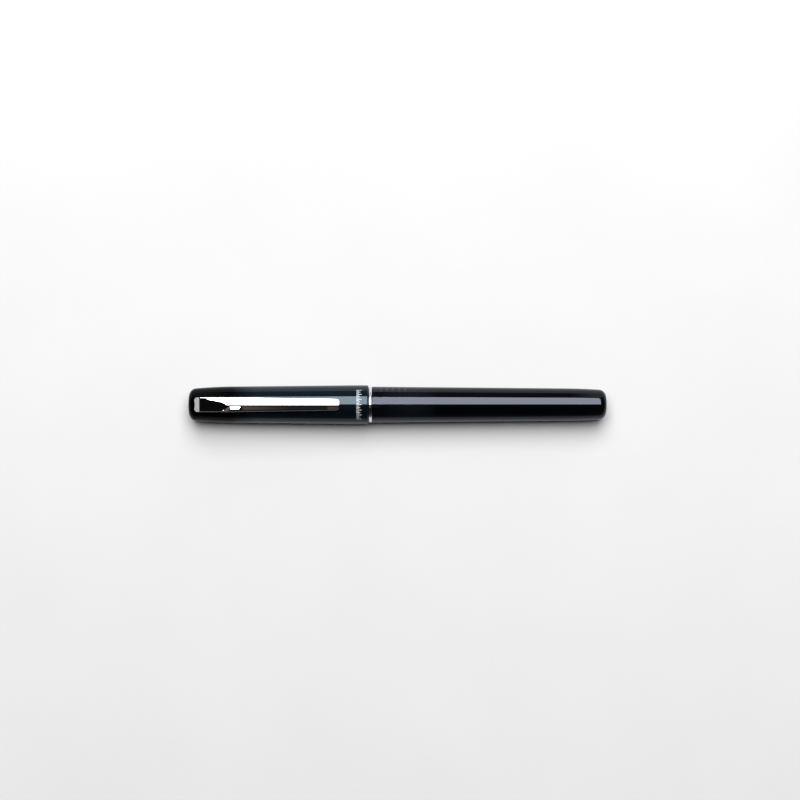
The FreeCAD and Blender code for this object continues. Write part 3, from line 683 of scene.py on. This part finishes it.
def paint_nodes():
    """Gives every visible CAD node and new piece its material."""
    # The shade numbers here, 0.45, 0.7 and 1.0, are how much colour each resin keeps under its painted
    # shade.
    cap_resin = resin("cap_resin", (0.0012, 0.0012, 0.0014), (0.0060, 0.0122, 0.019), (14.0, 22.0),
                      (0.0, 0.0), (0.12, 0.5), (0.80, 0.98, 1.12), 0.45)
    barrel_resin = resin("barrel_resin", (0.022, 0.032, 0.042), (0.0018, 0.0020, 0.0030), (64.0, 82.0),
                         (0.9, 0.0), (0.5, 0.5), (0.80, 0.86, 1.06), 0.7, (61.0, 73.0))
    section_resin = resin("section_resin", (0.004, 0.0065, 0.01), (0.004, 0.0065, 0.01), (39.0, 60.0),
                          (0.2, 0.2), (0.5, 0.5), (0.80, 0.87, 1.0), 1.0)
    clip_steel = steel("clip_steel", (0.60, 0.59, 0.585), (0.012, 0.035), bump=0.001)
    ring_steel = steel("ring_steel", (0.84, 0.85, 0.87), (0.10, 0.16), (300, 300, 300))
    nib_steel = steel("nib_steel", (0.74, 0.74, 0.75), (0.10, 0.2), (60, 1500, 1500), 0.03)
    tip_alloy = steel("tip_alloy", (0.60, 0.60, 0.62), (0.16, 0.28), (900, 900, 900), 0.05)
    spring_steel = steel("spring_steel", (0.55, 0.55, 0.56), (0.2, 0.34), (900, 900, 900), 0.03)
    collar = steel("collar_plating", (0.09, 0.09, 0.10), (0.12, 0.22), (900, 200, 200))
    frosted = plastic("frosted_plastic", (0.62, 0.65, 0.65), (0.72, 0.75, 0.75), (0.38, 0.5),
                      Transmission_Weight=0.25)
    feed_black = plastic("feed_black", (0.012, 0.012, 0.014), (0.022, 0.022, 0.024), (0.42, 0.6))
    clear = plastic("clear_plastic", (0.86, 0.89, 0.9), (0.93, 0.95, 0.96), (0.04, 0.1), bump=0.01,
                    Transmission_Weight=0.95, IOR=1.49)
    dark = plastic("dark_plastic", (0.03, 0.03, 0.034), (0.045, 0.045, 0.05), (0.3, 0.46))
    natural = plastic("natural_acetal", (0.55, 0.57, 0.57), (0.64, 0.66, 0.66), (0.34, 0.48))
    rubber = plastic("seal_rubber", (0.03, 0.03, 0.032), (0.045, 0.045, 0.047), (0.5, 0.7), 4.0, 0.12)
    ink_print = plastic("white_print", (0.74, 0.76, 0.78), (0.84, 0.86, 0.88), (0.35, 0.5))
    by_piece = {
        "cap_body": (cap_resin, "dark_resin"),
        "barrel_body": (barrel_resin, "dark_resin"),
        "ring_band": (ring_steel, "bright_ring"),
        "clip_strip": (clip_steel, "bright_steel"),
        "spring_coil": (spring_steel, "spring_steel"),
        "cap_ticks": (ink_print, "inner_cap_resin"),
        "clip_retainer": (cap_resin, None),
        "inner_cap": (frosted, None),
        "grip_section": (section_resin, None),
        "nib": (nib_steel, None),
        "nib_tipping": (tip_alloy, None),
        "feed": (feed_black, None),
        "converter_tube": (clear, None),
        "converter_collar": (collar, None),
        "converter_guide": (dark, None),
        "converter_knob": (dark, None),
        "converter_spindle": (dark, None),
        "piston_rod": (natural, None),
        "piston_seal": (rubber, None),
    }
    for name, (material, slot) in by_piece.items():
        obj = bpy.data.objects[name]
        obj.data.materials.clear()
        obj.data.materials.append(material)


# Floor, light and camera, in metres, but for the sensor's millimetres

FLOOR_HALF = 12
FLOOR_TONES = ((0.500, 0.503, 0.508), (0.512, 0.515, 0.520))
WINDOW_HEIGHT = 1.5
WINDOW_NEAR = 0.05
WINDOW_FAR = 1.79
WINDOW_HALF_WIDTH = 0.64
WINDOW_RADIANCE = 10.6
WINDOW_COLOUR = (1.0, 0.995, 0.985)
CAMERA_DISTANCE = 0.6
VIEW_WIDTH = 0.2652
CAMERA_OFFSET = (0.78 * MM, 1.53 * MM)
SENSOR_WIDTH = 36
TONE_GAMMA = 0.86


def make_floor():
    bm = bmesh.new()
    bmesh.ops.create_grid(bm, x_segments=1, y_segments=1, size=FLOOR_HALF)
    mesh = bpy.data.meshes.new("floor")
    bm.to_mesh(mesh)
    bm.free()
    floor = bpy.data.objects.new("floor", mesh)
    floor.location.z = CAP_LOW.z
    bpy.context.scene.collection.objects.link(floor)
    m = Nodes("floor_paper")
    m.set(Base_Color=m.blend(m.spread(m.noise(0.02), 0, 1), *FLOOR_TONES))
    m.set(Roughness=0.75)
    m.bump(m.noise(3.0, 3), 0.03, 0.05)
    mesh.materials.append(m.material)


def make_light():
    """One large soft window-like light, facing down from high on the side of +Y."""
    data = bpy.data.lights.new("soft_window", "AREA")
    data.shape = "RECTANGLE"
    data.size = 2 * WINDOW_HALF_WIDTH
    data.size_y = WINDOW_FAR - WINDOW_NEAR
    data.energy = WINDOW_RADIANCE * math.pi * data.size * data.size_y
    data.color = WINDOW_COLOUR
    light = bpy.data.objects.new("soft_window", data)
    light.location = (0.0, (WINDOW_NEAR + WINDOW_FAR) / 2, WINDOW_HEIGHT)
    bpy.context.scene.collection.objects.link(light)


# The room: tones by how far up a direction points, then patches. A patch is a tone and its limits, each
# an axis and where along it the patch fades in.
ROOM_TONES = ((0.0, (0.20, 0.20, 0.205)), (0.35, (0.05, 0.05, 0.053)), (0.9, (0.008, 0.008, 0.009)))
FAR_WALL = ((0.14, 0.14, 0.15), (("Y", 0.76, 0.84),))
LEFT_PANE = ((0.95, 0.95, 0.96), (("Y", 0.70, 0.80), ("X", -0.12, -0.20)))
RIGHT_PANE = ((0.95, 0.95, 0.96), (("Y", 0.70, 0.80), ("X", 0.12, 0.20)))
NEAR_WALL = ((0.04, 0.04, 0.042), (("Y", -0.03, -0.10), ("Y", -0.40, -0.24)))
WARM_WALL = ((0.28, 0.20, 0.195), (("Y", -0.03, -0.10), ("Y", -0.40, -0.24), ("X", -0.045, -0.085)))


def room_patch(tree, split, colour, tone, limits):
    """Lays a tone over the room's colour where the direction is past every limit, with soft edges."""
    factor = tree.nodes.new("ShaderNodeValue").outputs[0]
    factor.default_value = 1.0
    for axis, start, end in limits:
        edge = tree.nodes.new("ShaderNodeMapRange")
        tree.links.new(split.outputs[axis], edge.inputs["Value"])
        edge.inputs["From Min"].default_value = start
        edge.inputs["From Max"].default_value = end
        scaled = tree.nodes.new("ShaderNodeMath")
        scaled.operation = "MULTIPLY"
        tree.links.new(edge.outputs["Result"], scaled.inputs[0])
        tree.links.new(factor, scaled.inputs[1])
        factor = scaled.outputs[0]
    mix = tree.nodes.new("ShaderNodeMix")
    mix.data_type = "RGBA"
    tree.links.new(factor, mix.inputs[0])
    tree.links.new(colour, mix.inputs[6])
    mix.inputs[7].default_value = (*tone, 1)
    return mix.outputs[2]


def make_world():
    """A dim room, lighter low down: a far wall with two panes, a near wall, and a warm patch on that."""
    world = bpy.data.worlds.new("room")
    bpy.context.scene.world = world
    world.use_nodes = True
    tree = world.node_tree
    coords = tree.nodes.new("ShaderNodeTexCoord")
    split = tree.nodes.new("ShaderNodeSeparateXYZ")
    ramp = tree.nodes.new("ShaderNodeValToRGB")
    stops = ramp.color_ramp.elements
    stops.new(0.5)
    for stop, (position, tone) in zip(stops, ROOM_TONES):
        stop.position = position
        stop.color = (*tone, 1)
    tree.links.new(coords.outputs["Generated"], split.inputs[0])
    tree.links.new(split.outputs["Z"], ramp.inputs[0])
    colour = ramp.outputs[0]
    for tone, limits in (FAR_WALL, LEFT_PANE, RIGHT_PANE, NEAR_WALL, WARM_WALL):
        colour = room_patch(tree, split, colour, tone, limits)
    tree.links.new(colour, tree.nodes["Background"].inputs[0])


def make_camera():
    """Straight above the pen, with the cap at the left of the picture."""
    data = bpy.data.cameras.new("camera")
    camera = bpy.data.objects.new("camera", data)
    bpy.context.scene.collection.objects.link(camera)
    data.sensor_width = SENSOR_WIDTH
    data.lens = data.sensor_width * CAMERA_DISTANCE / VIEW_WIDTH
    middle_x = (CAP_LOW.x + BARREL_HIGH.x) / 2
    camera.location = (middle_x + CAMERA_OFFSET[0], CAMERA_OFFSET[1], AXIS_Z + CAMERA_DISTANCE)
    bpy.context.scene.camera = camera
    bpy.context.scene.view_settings.view_transform = "Standard"
    bpy.context.scene.view_settings.gamma = TONE_GAMMA


def main():
    make_cap()
    make_barrel()
    make_ring()
    make_clip()
    make_spring()
    make_marks()
    paint_nodes()
    make_floor()
    make_light()
    make_world()
    make_camera()


main()
